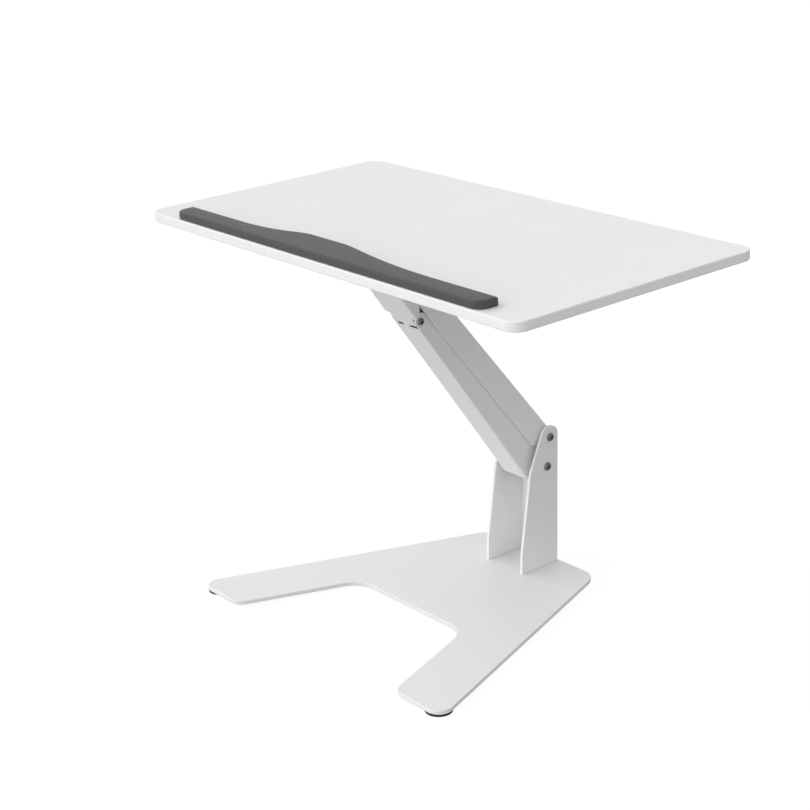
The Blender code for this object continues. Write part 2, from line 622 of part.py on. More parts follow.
def main():
    clear_scene()
    mats = materials()
    base = empty("base_frame", (0, REAR_Y, PLATE_TOP))
    lower = empty("lower_arm_frame", (0, *LOWER_PIVOT), LINK_ANGLE, base)
    upper = empty("upper_arm_frame", (0, *UPPER_PIVOT), LINK_ANGLE, base)
    head = empty("head_frame", (0, *HEAD_LOWER), 0, base)
    front = (0, BOARD_FRONT_Y - HEAD_LOWER[0], BOARD_TOP_Z - HEAD_LOWER[1])
    board_frame = empty("board_frame", front, BOARD_TILT, head)
    angle, length = spring_angle_and_length()
    rod_frame = empty("spring_rod_frame", (0, *LOWER_PIVOT), angle, base)
    cylinder_frame = empty("spring_cylinder_frame", (0, 0, 0), 0, rod_frame)

    base_plate(base, mats)
    column(base, mats)
    feet(base, mats)
    column_pivots(base, mats)
    lower_link(lower, mats)
    upper_link(upper, mats)
    spring_pin(upper, mats)
    gas_spring(rod_frame, cylinder_frame, length, mats)
    head_bracket(head, board_frame, mats)
    head_pivots(head, lower, mats)
    mounting_plate(board_frame, mats)
    plate_fixings(board_frame, mats)
    board(board_frame, mats)
    palm_rest(board_frame, mats)


main()
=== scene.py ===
import json
import math

import bmesh
import bpy
from mathutils import Matrix, Vector
from mathutils.geometry import delaunay_2d_cdt


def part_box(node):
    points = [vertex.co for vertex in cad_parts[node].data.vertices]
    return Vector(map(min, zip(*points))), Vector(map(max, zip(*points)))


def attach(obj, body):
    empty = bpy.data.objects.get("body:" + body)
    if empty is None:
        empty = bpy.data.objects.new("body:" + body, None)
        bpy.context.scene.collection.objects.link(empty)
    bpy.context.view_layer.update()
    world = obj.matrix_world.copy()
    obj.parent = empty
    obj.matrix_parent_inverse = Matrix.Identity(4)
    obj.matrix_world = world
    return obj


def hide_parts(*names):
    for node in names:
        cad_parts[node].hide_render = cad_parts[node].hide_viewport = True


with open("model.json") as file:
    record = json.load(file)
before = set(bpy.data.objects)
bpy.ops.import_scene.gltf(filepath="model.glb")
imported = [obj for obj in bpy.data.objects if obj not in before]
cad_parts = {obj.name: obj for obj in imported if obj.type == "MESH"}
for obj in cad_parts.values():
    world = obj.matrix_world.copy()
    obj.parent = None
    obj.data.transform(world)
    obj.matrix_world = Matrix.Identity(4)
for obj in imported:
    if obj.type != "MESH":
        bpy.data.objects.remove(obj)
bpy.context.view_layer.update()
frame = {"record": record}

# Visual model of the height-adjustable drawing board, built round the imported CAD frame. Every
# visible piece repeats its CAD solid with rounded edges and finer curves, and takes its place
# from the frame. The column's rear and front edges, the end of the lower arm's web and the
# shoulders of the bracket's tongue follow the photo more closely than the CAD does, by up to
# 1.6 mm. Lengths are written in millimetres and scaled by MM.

RECORD = frame["record"]
JOINTS = {joint["name"]: joint for joint in RECORD["behaviour"]["joints"]}
BODY = {node: body for body, nodes in RECORD["behaviour"]["bodies"].items() for node in nodes}
SLOT = {part["node"]: part["material_slot"] for part in RECORD["subparts"]}

MM = 0.001
GAP = 0.3 * MM                      # between neighbouring solids
PLAY = 0.3 * MM                     # round a pin in its hole
SHEET = 2.5 * MM                    # the arms' and the bracket's sheet
SHEET_EDGE = 0.4 * MM               # rounding of a cut edge
SHEET_BEND = 3 * MM                 # outside radius of a fold
REACH = 50 * MM                     # past every sheet, for a cut that goes right through
WELD = 0.002 * MM                   # points this close are merged
ROUND = 48                          # segments round a bolt or a washer
SHARP = math.radians(40)            # edges that turn by more are rounded or shaded sharp
SIDES = (("right", 1), ("left", -1))

# Places from the frame
PLATE_LOW, PLATE_HIGH = (Vector(corner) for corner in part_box("base_plate"))
BOARD_LOW, BOARD_HIGH = (Vector(corner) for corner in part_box("board"))
LOWER_PIN, UPPER_PIN, HEAD_PIN = (Vector(JOINTS[name]["pos_m"])
                                  for name in ("arm_lift", "upper_arm_turn", "head_level"))
LINK_LENGTH = (HEAD_PIN - LOWER_PIN).length
LINK_ANGLE = math.atan2(HEAD_PIN.z - LOWER_PIN.z, HEAD_PIN.y - LOWER_PIN.y)
RISE = (UPPER_PIN.y - LOWER_PIN.y, UPPER_PIN.z - LOWER_PIN.z)
PLATE_THICK = PLATE_HIGH.z - PLATE_LOW.z
PLATE_LENGTH = PLATE_HIGH.y - PLATE_LOW.y

# Board and palm rest
BOARD_TILT = math.radians(0.983)
BOARD_THICK = 12.7 * MM
BOARD_WIDTH = BOARD_HIGH.x - BOARD_LOW.x
BOARD_DEPTH = (BOARD_HIGH.y - BOARD_LOW.y
               - BOARD_THICK * math.sin(BOARD_TILT)) / math.cos(BOARD_TILT)
BOARD_EDGE = 1.6 * MM
REST_HALF = 296 * MM
REST_FRONT, REST_BACK, REST_BULGE = 2.6 * MM, 32.3 * MM, 53.7 * MM

# Plate under the board, and where its bolts and screws are on the board
MOUNT_THICK = 3 * MM
BOLT_X, BOLT_ROWS, BOLT_HOLE = 45 * MM, (102 * MM, 154 * MM), 3.3 * MM
SCREW_X, SCREW_ROWS = 105 * MM, (84 * MM, 155 * MM, 226 * MM)
BRACKET_BOLTS = [(x, y) for x in (-BOLT_X, BOLT_X) for y in BOLT_ROWS]
BOARD_SCREWS = [(x, y) for x in (-SCREW_X, SCREW_X) for y in SCREW_ROWS]

# Half widths of the folded sheets
COLUMN_HALF, COLUMN_SHEET, COLUMN_REAR = 35.9 * MM, 3.8 * MM, -2.8 * MM
COLUMN_INNER = COLUMN_HALF - COLUMN_SHEET
LOWER_HALF, UPPER_HALF, BRACKET_HALF = 23.75 * MM, 27.5 * MM, 31 * MM

# Pins, and the button heads and nuts of the larger ones
PIN_RADIUS, HEAD_PIN_RADIUS = 4 * MM, 3.5 * MM
BOLT_HEAD, BOLT_TALL, BOLT_END = 6 * MM, 3.1 * MM, 7 * MM
NUT_ACROSS, NUT_TALL = 13 * MM, 6 * MM

# Bracket: its web's slope and distance in front of the lower head pin; where along the web its
# full width, its tongue and its stop tab begin; and the half widths of tongue, lugs and tab
WEB_ANGLE = math.radians(125.95)
WEB_FRONT = 7.4 * MM
WIDE_FROM, TONGUE_FROM, TAB_FROM = 13 * MM, -3 * MM, -6.9 * MM
TONGUE_HALF, LUG_HALF, STOP_HALF = 20.7 * MM, 20.6 * MM, 6 * MM

# Gas spring: its pin in the upper arm's frame, and its sizes
SPRING_PIN = (250 * MM, 8 * MM)
EYE_HALF = 6 * MM
CYLINDER_RADIUS, CYLINDER_LENGTH = 9 * MM, 150 * MM


# ---------------------------------------------------------------- places


def at(point):
    return Matrix.Translation(point)


BASE = at((0, PLATE_HIGH.y, PLATE_HIGH.z))
LOWER_ARM = at(LOWER_PIN) @ Matrix.Rotation(LINK_ANGLE, 4, "X")
UPPER_ARM = at(UPPER_PIN) @ Matrix.Rotation(LINK_ANGLE, 4, "X")
HEAD = at(HEAD_PIN)
BOARD = at((0, BOARD_LOW.y - BOARD_EDGE * math.sin(BOARD_TILT),
            BOARD_HIGH.z - (BOARD_DEPTH - BOARD_EDGE) * math.sin(BOARD_TILT)))
BOARD = BOARD @ Matrix.Rotation(BOARD_TILT, 4, "X")
SPRING_LINE = UPPER_ARM @ Vector((0, *SPRING_PIN)) - LOWER_PIN
SPRING_LENGTH = SPRING_LINE.length
SPRING = at(LOWER_PIN) @ Matrix.Rotation(math.atan2(SPRING_LINE.z, SPRING_LINE.y), 4, "X")
ALONG_Y = Matrix.Rotation(-math.pi / 2, 4, "X")


def along_x(y, z, x=0.0, sign=1):
    """Turn a piece's own axis to +X or -X and put it at (x, y, z)."""
    return at((x, y, z)) @ Matrix.Rotation(sign * math.pi / 2, 4, "Y")


# ---------------------------------------------------------------- shapes


def move(point, distance, angle):
    return (point[0] + distance * math.cos(angle), point[1] + distance * math.sin(angle))


def arc(center, radius, start, end, steps=24):
    """Points on an arc; the angles are in degrees."""
    angles = [math.radians(start + (end - start) * i / steps) for i in range(steps + 1)]
    return [move(center, radius, a) for a in angles]


def rounded(corners, steps=16):
    """Outline through corners (a, b, radius), each rounded by an arc of that radius."""
    outline = []
    for i, (a, b, radius) in enumerate(corners):
        here = Vector((a, b))
        if radius == 0:
            outline.append((a, b))
            continue
        before = (Vector(corners[i - 1][:2]) - here).normalized()
        after = (Vector(corners[(i + 1) % len(corners)][:2]) - here).normalized()
        half = before.angle(after) / 2
        center = here + (before + after).normalized() * radius / math.sin(half)
        first = here + before * radius / math.tan(half) - center
        last = here + after * radius / math.tan(half) - center
        turn = first.angle_signed(last)
        for k in range(steps + 1):
            spoke = first.copy()
            spoke.rotate(Matrix.Rotation(-turn * k / steps, 2))
            outline.append(tuple(center + spoke))
    return outline


def bezier(start, handle_a, handle_b, end, steps=24):
    points = []
    for i in range(steps + 1):
        t = i / steps
        weights = ((1 - t) ** 3, 3 * t * (1 - t) ** 2, 3 * t * t * (1 - t), t ** 3)
        corners = (start, handle_a, handle_b, end)
        points.append(tuple(sum(w * c[k] for w, c in zip(weights, corners)) for k in (0, 1)))
    return points


def prism(outline, low, high, axis="Z", web=None, bend_radius=0.0):
    """Extrude an outline along Z, or a (y, z) outline along X; web is a segment to round off."""
    def point(p, h):
        return (p[0], p[1], h) if axis == "Z" else (h, p[0], p[1])

    bm = bmesh.new()
    rows = [[bm.verts.new(point(p, h)) for p in outline] for h in (low, high)]
    bm.faces.new(rows[0])
    bm.faces.new(rows[1])
    count = len(outline)
    for i in range(count):
        j = (i + 1) % count
        bm.faces.new((rows[0][i], rows[0][j], rows[1][j], rows[1][i]))
    if web is not None:
        edges = [bm.edges.get((row[web], row[(web + 1) % count])) for row in rows]
        bmesh.ops.bevel(bm, geom=edges, offset=bend_radius, segments=10, profile=0.5,
                        affect="EDGES")
    bmesh.ops.recalc_face_normals(bm, faces=bm.faces)
    return bm


def box(low, high):
    corners = [(low[0], low[1]), (high[0], low[1]), (high[0], high[1]), (low[0], high[1])]
    return prism(corners, low[2], high[2])


def turned(profile, segments=ROUND, hollow=False):
    """Turn (radius, height) points about Z; a hollow profile closes on itself."""
    bm = bmesh.new()
    rings = []
    for radius, height in profile:
        if radius == 0:
            rings.append([bm.verts.new((0, 0, height))])
            continue
        angles = [2 * math.pi * k / segments for k in range(segments)]
        rings.append([bm.verts.new((radius * math.cos(a), radius * math.sin(a), height))
                      for a in angles])
    pairs = list(zip(rings, rings[1:]))
    if hollow:
        pairs.append((rings[-1], rings[0]))
    for upper, lower in pairs:
        for k in range(segments):
            n = (k + 1) % segments
            if len(upper) == 1:
                bm.faces.new((upper[0], lower[k], lower[n]))
            elif len(lower) == 1:
                bm.faces.new((upper[k], lower[0], upper[n]))
            else:
                bm.faces.new((upper[k], lower[k], lower[n], upper[n]))
    bmesh.ops.recalc_face_normals(bm, faces=bm.faces)
    return bm


def rod(radius, low, high):
    """A pin with a small chamfer at each end."""
    chamfer = min(0.5 * MM, radius / 6)
    return turned([(0, high), (radius - chamfer, high), (radius, high - chamfer),
                   (radius, low + chamfer), (radius - chamfer, low), (0, low)])


def bore(radius, low, high, segments=ROUND):
    """A plain cylinder to cut a hole with."""
    return turned([(0, high), (radius, high), (radius, low), (0, low)], segments)


def ring(outer, inner, low, high):
    """A washer, sleeve or spacer with broken edges."""
    low, high = sorted((low, high))
    edge = min(0.4 * MM, (high - low) / 4)
    return turned([(outer - edge, high), (outer, high - edge), (outer, low + edge),
                   (outer - edge, low), (inner + edge, low), (inner, low + edge),
                   (inner, high - edge), (inner + edge, high)], hollow=True)


def placed(bm, matrix):
    bm.transform(matrix)
    return bm


def temporary(bm):
    mesh = bpy.data.meshes.new("temporary")
    bm.to_mesh(mesh)
    bm.free()
    obj = bpy.data.objects.new("temporary", mesh)
    bpy.context.collection.objects.link(obj)
    return obj


def combine(target, tools, operation="DIFFERENCE"):
    """Cut tools from a shape, join them to it, or keep what they share, with the exact solver."""
    objects = [temporary(bm) for bm in (target, *tools)]
    for tool in objects[1:]:
        modifier = objects[0].modifiers.new("combine", "BOOLEAN")
        modifier.operation = operation
        modifier.solver = "EXACT"
        modifier.object = tool
    shape = objects[0].evaluated_get(bpy.context.evaluated_depsgraph_get())
    result = bmesh.new()
    result.from_mesh(shape.to_mesh())
    shape.to_mesh_clear()
    for obj in objects:
        mesh = obj.data
        bpy.data.objects.remove(obj, do_unlink=True)
        bpy.data.meshes.remove(mesh)
    return result


def drilled(target, spots, radius, low=-REACH, high=REACH, axis="X"):
    """Cut round holes at (a, b) spots, along X or Z, from low to high."""
    places = [along_x(a, b) if axis == "X" else at((a, b, 0)) for a, b in spots]
    return combine(target, [placed(bore(radius, low, high), place) for place in places])


def soften(bm, width, segments):
    """Round every sharp edge."""
    bmesh.ops.dissolve_limit(bm, angle_limit=math.radians(0.5), verts=bm.verts, edges=bm.edges)
    edges = [edge for edge in bm.edges if len(edge.link_faces) == 2
             and abs(edge.calc_face_angle_signed(0)) > SHARP]
    bmesh.ops.bevel(bm, geom=edges, offset=width, segments=segments, profile=0.5,
                    affect="EDGES", clamp_overlap=True)
    return bm


# ---------------------------------------------------------------- materials


class Shader:
    """A Principled material whose inputs are wired from procedural patterns in object space."""

    def __init__(self, name, **inputs):
        self.material = bpy.data.materials.new(name)
        self.material.use_nodes = True
        self.tree = self.material.node_tree
        self.principled = self.tree.nodes["Principled BSDF"]
        self.coords = self.add("ShaderNodeTexCoord").outputs["Object"]
        for key, value in inputs.items():
            self.principled.inputs[key.replace("_", " ")].default_value = value

    def add(self, kind, **inputs):
        node = self.tree.nodes.new(kind)
        for key, value in inputs.items():
            node.inputs[key].default_value = value
        return node

    def link(self, output, target):
        self.tree.links.new(output, target)

    def noise(self, scale, detail=3.0, roughness=0.5, stretch=(1, 1, 1)):
        mapping = self.add("ShaderNodeMapping", Scale=stretch)
        self.link(self.coords, mapping.inputs["Vector"])
        node = self.add("ShaderNodeTexNoise", Scale=scale, Detail=detail, Roughness=roughness)
        self.link(mapping.outputs["Vector"], node.inputs["Vector"])
        return node.outputs["Fac"]

    def cells(self, scale):
        node = self.add("ShaderNodeTexVoronoi", Scale=scale)
        self.link(self.coords, node.inputs["Vector"])
        return node.outputs["Distance"]

    def ramp(self, value, low, high, start=0.35, end=0.65):
        """Numbers from low to high as the pattern goes from start to end."""
        node = self.add("ShaderNodeMapRange")
        limits = {"From Min": start, "From Max": end, "To Min": low, "To Max": high}
        for key, number in limits.items():
            node.inputs[key].default_value = number
        self.link(value, node.inputs["Value"])
        return node.outputs["Result"]

    def color(self, value, dark, light, start=0.35, end=0.65):
        """Base colour between two colours, after a pattern."""
        node = self.add("ShaderNodeValToRGB")
        node.color_ramp.elements[0].position = start
        node.color_ramp.elements[1].position = end
        node.color_ramp.elements[0].color = (*dark, 1)
        node.color_ramp.elements[1].color = (*light, 1)
        self.link(value, node.inputs["Fac"])
        self.link(node.outputs["Color"], self.principled.inputs["Base Color"])
        return self

    def gloss(self, value, low, high):
        self.link(self.ramp(value, low, high), self.principled.inputs["Roughness"])
        return self

    def bumps(self, *layers):
        """Bump from (pattern, height in metres) layers, the coarsest first."""
        normal = None
        for value, height in layers:
            node = self.add("ShaderNodeBump", Strength=1.0, Distance=height)
            self.link(value, node.inputs["Height"])
            if normal:
                self.link(normal, node.inputs["Normal"])
            normal = node.outputs["Normal"]
        self.link(normal, self.principled.inputs["Normal"])
        return self


def powder_coat():
    """White satin powder coat: a fine orange peel over a faint waviness."""
    s = Shader("powder_coat_white", Coat_Weight=0.10, Coat_Roughness=0.25)
    s.color(s.noise(18, 4), (0.866, 0.868, 0.870), (0.877, 0.878, 0.880))
    s.gloss(s.noise(160, 3), 0.40, 0.52)
    return s.bumps((s.noise(90, 2), 0.00004), (s.noise(1500, 3, 0.6), 0.000025)).material


def laminate():
    """White matt laminate with a very fine pearl texture."""
    s = Shader("laminate_white", Specular_IOR_Level=0.35)
    s.color(s.noise(7, 5), (0.872, 0.873, 0.875), (0.880, 0.881, 0.882))
    s.gloss(s.noise(60, 4), 0.46, 0.58)
    return s.bumps((s.noise(30, 2), 0.00003), (s.cells(1900), 0.00002),
                   (s.noise(3800, 2), 0.00001)).material


def foam():
    """Dark grey moulded foam with a leathery skin: fine pebbles, pores and a slight sheen."""
    s = Shader("foam_dark_grey", Sheen_Weight=0.18, Sheen_Roughness=0.45, Specular_IOR_Level=0.32)
    s.color(s.noise(420, 6, 0.65), (0.060, 0.060, 0.064), (0.084, 0.084, 0.089), 0.3, 0.7)
    s.gloss(s.noise(240, 4), 0.62, 0.80)
    return s.bumps((s.noise(60, 3), 0.00025), (s.cells(1100), 0.00012),
                   (s.noise(2600, 4, 0.6), 0.00006)).material


def rubber():
    s = Shader("rubber_black", Specular_IOR_Level=0.3)
    s.color(s.noise(260, 5), (0.010, 0.010, 0.011), (0.022, 0.022, 0.023))
    s.gloss(s.noise(500, 3), 0.68, 0.86)
    return s.bumps((s.noise(120, 2), 0.00008), (s.noise(1800, 3), 0.00004)).material


def metal(name, dark, light, low, high, stretch=(1, 1, 1), grain=900):
    """A metal finish: blotchy plating, uneven gloss and fine grain along one direction."""
    s = Shader(name, Metallic=1.0)
    s.color(s.noise(240, 5, 0.6), dark, light, 0.3, 0.7)
    s.gloss(s.noise(700, 4, 0.6, stretch), low, high)
    return s.bumps((s.noise(grain, 3, 0.55, stretch), 0.000015)).material


def black_paint():
    s = Shader("paint_black", Coat_Weight=0.35, Coat_Roughness=0.12)
    s.color(s.noise(90, 4), (0.014, 0.014, 0.015), (0.024, 0.024, 0.026))
    s.gloss(s.noise(300, 3), 0.26, 0.40)
    return s.bumps((s.noise(220, 2), 0.00003), (s.noise(1600, 2), 0.00001)).material


def nylon():
    s = Shader("nylon_natural", Subsurface_Weight=0.15, Specular_IOR_Level=0.4)
    s.principled.inputs["Subsurface Scale"].default_value = 0.002
    s.color(s.noise(110, 4), (0.62, 0.60, 0.54), (0.70, 0.68, 0.62))
    s.gloss(s.noise(400, 3), 0.42, 0.58)
    return s.bumps((s.noise(800, 3), 0.00002)).material


MATERIALS = {
    "steel_white": powder_coat(),
    "board_white": laminate(),
    "pad_grey": foam(),
    "rubber": rubber(),
    "bolt_dark": metal("zinc_black", (0.20, 0.20, 0.21), (0.30, 0.30, 0.31), 0.34, 0.50),
    "zinc": metal("zinc_bright", (0.50, 0.51, 0.53), (0.66, 0.67, 0.69), 0.24, 0.40),
    "chrome": metal("chrome", (0.62, 0.63, 0.65), (0.70, 0.71, 0.73), 0.05, 0.12, (8, 1, 8), 400),
    "spring_black": black_paint(),
    "nylon": nylon(),
}


# ---------------------------------------------------------------- pieces


def piece(node, bm, place):
    """Put a finished shape in place of a CAD node: its body, its slot and its slot's material."""
    bm.transform(place)
    bmesh.ops.recalc_face_normals(bm, faces=bm.faces)
    bmesh.ops.remove_doubles(bm, verts=bm.verts, dist=WELD)
    if bm.calc_volume(signed=True) < 0:
        bmesh.ops.reverse_faces(bm, faces=bm.faces)
    mesh = bpy.data.meshes.new(f"{node}_finished")
    bm.to_mesh(mesh)
    bm.free()
    mesh.shade_smooth()
    mesh.set_sharp_from_angle(angle=SHARP)
    mesh.materials.append(MATERIALS[SLOT[node]])
    obj = bpy.data.objects.new(f"{node}_finished", mesh)
    bpy.context.collection.objects.link(obj)
    normals = obj.modifiers.new("flat faces stay flat", "WEIGHTED_NORMAL")
    normals.keep_sharp = True
    normals.weight = 80
    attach(obj, BODY[node])
    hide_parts(node)
    return obj


def base_plate():
    """A flat V: two legs splayed to the front, and a notch between them."""
    splay = math.tan(math.radians(19.85))
    rear_half, notch, tip = 104.5 * MM, -243.9 * MM, -PLATE_LENGTH
    outer = rear_half - splay * tip
    inner = rear_half + splay * (notch - tip)
    right = [(rear_half, 0, 30 * MM), (outer, tip, 18 * MM), (inner, tip, 20 * MM),
             (rear_half, notch, 36 * MM)]
    left = [(-x, y, r) for x, y, r in reversed(right)]
    plate = soften(prism(rounded(right + left, 28), -PLATE_THICK, 0), 0.9 * MM, 4)
    piece("base_plate", plate, BASE)


def fold_outline(half, rear, front, bend, steps):
    """The plan of a folded sheet's outside or inside, with its two bends at the rear."""
    return rounded([(-half, rear, bend), (-half, front, 0), (half, front, 0), (half, rear, bend)],
                   steps)


def column():
    """One folded sheet: two cheeks and the web behind them."""
    bend, inside_bend, boss, web_top = 4.3 * MM, 0.9 * MM, 15.9 * MM, 186 * MM
    outer = fold_outline(COLUMN_HALF, COLUMN_REAR, -90 * MM, bend, 12)
    inner = fold_outline(COLUMN_INNER, COLUMN_REAR - COLUMN_SHEET, -110 * MM, inside_bend, 8)
    upper = (UPPER_PIN.y - PLATE_HIGH.y, UPPER_PIN.z - PLATE_HIGH.z)
    lower = (LOWER_PIN.y - PLATE_HIGH.y, LOWER_PIN.z - PLATE_HIGH.z)
    rear = COLUMN_REAR + 1 * MM
    profile = [(rear, -5 * MM), (-72.9 * MM, -5 * MM), (-72.4 * MM, 29.3 * MM)]
    profile += bezier((-72.3 * MM, 31 * MM), (-67.4 * MM, 66 * MM), (-61.5 * MM, 103 * MM),
                      (-57.8 * MM, 133.2 * MM), 8)
    profile += bezier((-57.5 * MM, 135.5 * MM), (-56.5 * MM, 143 * MM), (-55.3 * MM, 146.5 * MM),
                      (-53.6 * MM, 150.4 * MM), 8)
    profile += [*arc(upper, boss, 153, 12, 30), (rear, upper[1])]
    body = combine(prism(outer, GAP, 215 * MM), [prism(inner, -10 * MM, 230 * MM)])
    body = combine(body, [prism(profile, -REACH, REACH, "X")], "INTERSECT")
    side = COLUMN_INNER - 1.7 * MM
    body = combine(body, [box((-side, -15 * MM, web_top), (side, 10 * MM, 230 * MM))])
    body = drilled(body, [upper, lower], PIN_RADIUS + PLAY)
    piece("column", soften(body, 0.5 * MM, 2), BASE)


def feet():
    """Moulded rubber pads: a rounded rim, and a groove in the face that grips the desk."""
    profile = [(0, 0), (9.5 * MM, 0), (10 * MM, 0.7 * MM), (11 * MM, 0.7 * MM), (11.5 * MM, 0),
               (16.3 * MM, 0), (17.1 * MM, 0.35 * MM), (17.5 * MM, 1.1 * MM), (17.5 * MM, 2.3 * MM),
               (17.2 * MM, 2.95 * MM), (16.6 * MM, 3.2 * MM), (0, 3.2 * MM)]
    for node in ("foot_front_right", "foot_rear_right", "foot_front_left", "foot_rear_left"):
        low, high = (Vector(corner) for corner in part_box(node))
        center = (low + high) / 2
        piece(node, turned(profile, 72), at((center.x, center.y, low.z)))


def button_bolt(node, place, radius, head, tall, length):
    """A domed head with a key socket, and a shank; the head's inner face is at the origin."""
    rim, chamfer, start = 0.12 * tall, 0.6 * MM, 62
    rise = (tall - rim) / math.sin(math.radians(start))
    angles = [math.radians(start - 10 * i) for i in range(7)]
    dome = [(head * math.cos(a), rim + rise * math.sin(a)) for a in angles]
    profile = [(0, tall), *dome, (head, rim), (head * 0.96, 0), (radius, 0),
               (radius, chamfer - length), (radius - chamfer, -length), (0, -length)]
    across = 0.82 * head
    key = bore(across / math.sqrt(3), tall * 0.42, tall + 1 * MM, 6)
    piece(node, combine(turned(profile), [key]), place)


def nut(node, place, hole, across, tall):
    """A chamfered hexagonal nut, from the origin outwards."""
    corner = across / math.sqrt(3)
    cap = turned([(0, tall), (across / 2 * 0.93, tall), (corner * 1.02, tall * 0.86),
                  (corner * 1.02, 0.2 * MM), (across / 2 * 0.96, 0), (0, 0)], 72)
    body = combine(bore(corner, -1 * MM, tall + 1 * MM, 6), [cap], "INTERSECT")
    body = combine(body, [bore(hole + PLAY, -2 * MM, tall + 2 * MM)])
    bmesh.ops.remove_doubles(body, verts=body.verts, dist=10 * WELD)
    piece(node, body, place)


def between(node, place, outer, inner, near, far, sign):
    piece(node, ring(outer, inner, sign * (near + GAP), sign * (far - GAP)), place)


def column_pivots():
    hole = PIN_RADIUS + PLAY
    face = COLUMN_HALF + GAP
    for label, pin in (("upper", UPPER_PIN), ("lower", LOWER_PIN)):
        button_bolt(f"{label}_pivot_bolt", along_x(pin.y, pin.z, face), PIN_RADIUS, BOLT_HEAD,
                    BOLT_TALL, 2 * face + BOLT_END)
        nut(f"{label}_pivot_nut", along_x(pin.y, pin.z, -face, -1), PIN_RADIUS, NUT_ACROSS,
            NUT_TALL)
    upper, lower = along_x(UPPER_PIN.y, UPPER_PIN.z), along_x(LOWER_PIN.y, LOWER_PIN.z)
    for side, sign in SIDES:
        between(f"upper_pivot_spacer_{side}", upper, 9 * MM, hole, UPPER_HALF, COLUMN_INNER, sign)
        between(f"lower_pivot_spacer_{side}", lower, 8 * MM, hole, LOWER_HALF, COLUMN_INNER, sign)
        between(f"spring_spacer_{side}", lower, 7 * MM, hole, EYE_HALF, LOWER_HALF - SHEET, sign)


def channel(outline, inside, half, web):
    """A folded channel: a side outline at full width, less the outline of its inside."""
    inside_bend = SHEET_BEND - SHEET + 0.3 * MM
    hollow = prism(inside, SHEET - half, half - SHEET, "X", 0, inside_bend)
    return combine(prism(outline, -half, half, "X", web, SHEET_BEND), [hollow])


def lower_link():
    """Channel open to the rear; its web ends at a slot below the bracket's tongue."""
    web_low, web_end = (5 * MM, 29.6 * MM), (319.3 * MM, 7.65 * MM)
    slope = (web_end[1] - web_low[1]) / (web_end[0] - web_low[0])
    outline = [web_low, web_end, *arc((LINK_LENGTH, 0), 7.5 * MM, 100, 50, 8),
               *arc((LINK_LENGTH, -1.6 * MM), 10.4 * MM, 20, -90),
               *arc((0, 0), 12 * MM, -90, -205)]
    inner = SHEET * math.hypot(1, slope)
    low, high = -30 * MM, LINK_LENGTH + 30 * MM
    inside = [(s, web_low[1] - inner + slope * (s - web_low[0])) for s in (low, high)]
    body = channel(outline, inside + [(high, -60 * MM), (low, -60 * MM)], LOWER_HALF, 0)
    cheek, end, slot = LOWER_HALF - SHEET, web_end[0], 2.2 * MM
    body = combine(body, [box((-cheek, end, -1 * MM), (cheek, end + 40 * MM, 20 * MM)),
                          box((-REACH, end, 4.4 * MM), (REACH, end + slot, 20 * MM))])
    undercut = [(end + 1 * MM, 4.9 * MM), (end + 1 * MM, 7.1 * MM), (end - 0.1 * MM, 7.1 * MM),
                (end - 5.8 * MM, 4.9 * MM)]
    body = combine(body, [prism(undercut, 1 * MM - cheek, cheek - 1 * MM, "X")])
    body = drilled(body, [(0, 0)], PIN_RADIUS + PLAY)
    body = drilled(body, [(LINK_LENGTH, 0)], HEAD_PIN_RADIUS + PLAY)
    piece("lower_link", soften(body, SHEET_EDGE, 2), LOWER_ARM)


def upper_link():
    """Channel open to the front, over the lower arm, with round ends at both pins."""
    web, end = -10.6 * MM, 11.5 * MM
    meet = math.degrees(math.asin(-web / end))
    outline = arc((LINK_LENGTH, 0), end, -meet, 60)
    outline += rounded([(LINK_LENGTH + 3 * MM, 12.5 * MM, 0), (325 * MM, 19.5 * MM, 4 * MM),
                        (9 * MM, 24.3 * MM, 8 * MM), (2 * MM, 18.5 * MM, 0)], 10)
    outline += arc((0, 0), end, 110, 180 + meet)
    low, high = -30 * MM, LINK_LENGTH + 30 * MM
    inside = [(low, web + SHEET), (high, web + SHEET), (high, 60 * MM), (low, 60 * MM)]
    body = channel(outline, inside, UPPER_HALF, len(outline) - 1)
    body = drilled(body, [(0, 0), (LINK_LENGTH, 0)], PIN_RADIUS + PLAY)
    piece("upper_link", soften(body, 2 * SHEET_EDGE, 3), UPPER_ARM)


def gas_spring():
    """Rod and eye on the lower pivot, cylinder and eye on the cross pin inside the upper arm."""
    inside = UPPER_HALF - SHEET - GAP
    place = UPPER_ARM @ along_x(*SPRING_PIN)
    piece("spring_cross_pin", rod(PIN_RADIUS, -inside, inside), place)
    for side, sign in SIDES:
        between(f"spring_pin_sleeve_{side}", place, 7.5 * MM, PIN_RADIUS + PLAY, EYE_HALF,
                inside, sign)
    start = SPRING_LENGTH - 20 * MM - CYLINDER_LENGTH
    end = start + CYLINDER_LENGTH
    piece("spring_rod", rod(4 * MM, 18 * MM + GAP, start + 60 * MM), SPRING @ ALONG_Y)
    wall, mouth = CYLINDER_RADIUS, start + 118 * MM
    profile = [(0, end), (7.6 * MM, end), (8.6 * MM, end - 0.5 * MM), (wall, end - 1.6 * MM),
               (wall, start + 9 * MM), (8.5 * MM, start + 8 * MM), (8.5 * MM, start + 6.4 * MM),
               (wall, start + 5.4 * MM), (wall, start + 2 * MM), (8.4 * MM, start + 0.7 * MM),
               (7.2 * MM, start), (4.3 * MM, start), (4.3 * MM, mouth), (0, mouth)]
    piece("spring_cylinder", turned(profile, 72), SPRING @ ALONG_Y)
    eye("spring_rod_eye", 0, 9 * MM, PIN_RADIUS + PLAY, 5 * MM, 18 * MM)
    eye("spring_cylinder_eye", SPRING_LENGTH, 10.6 * MM, 7.2 * MM, end + GAP,
        SPRING_LENGTH - 8 * MM)


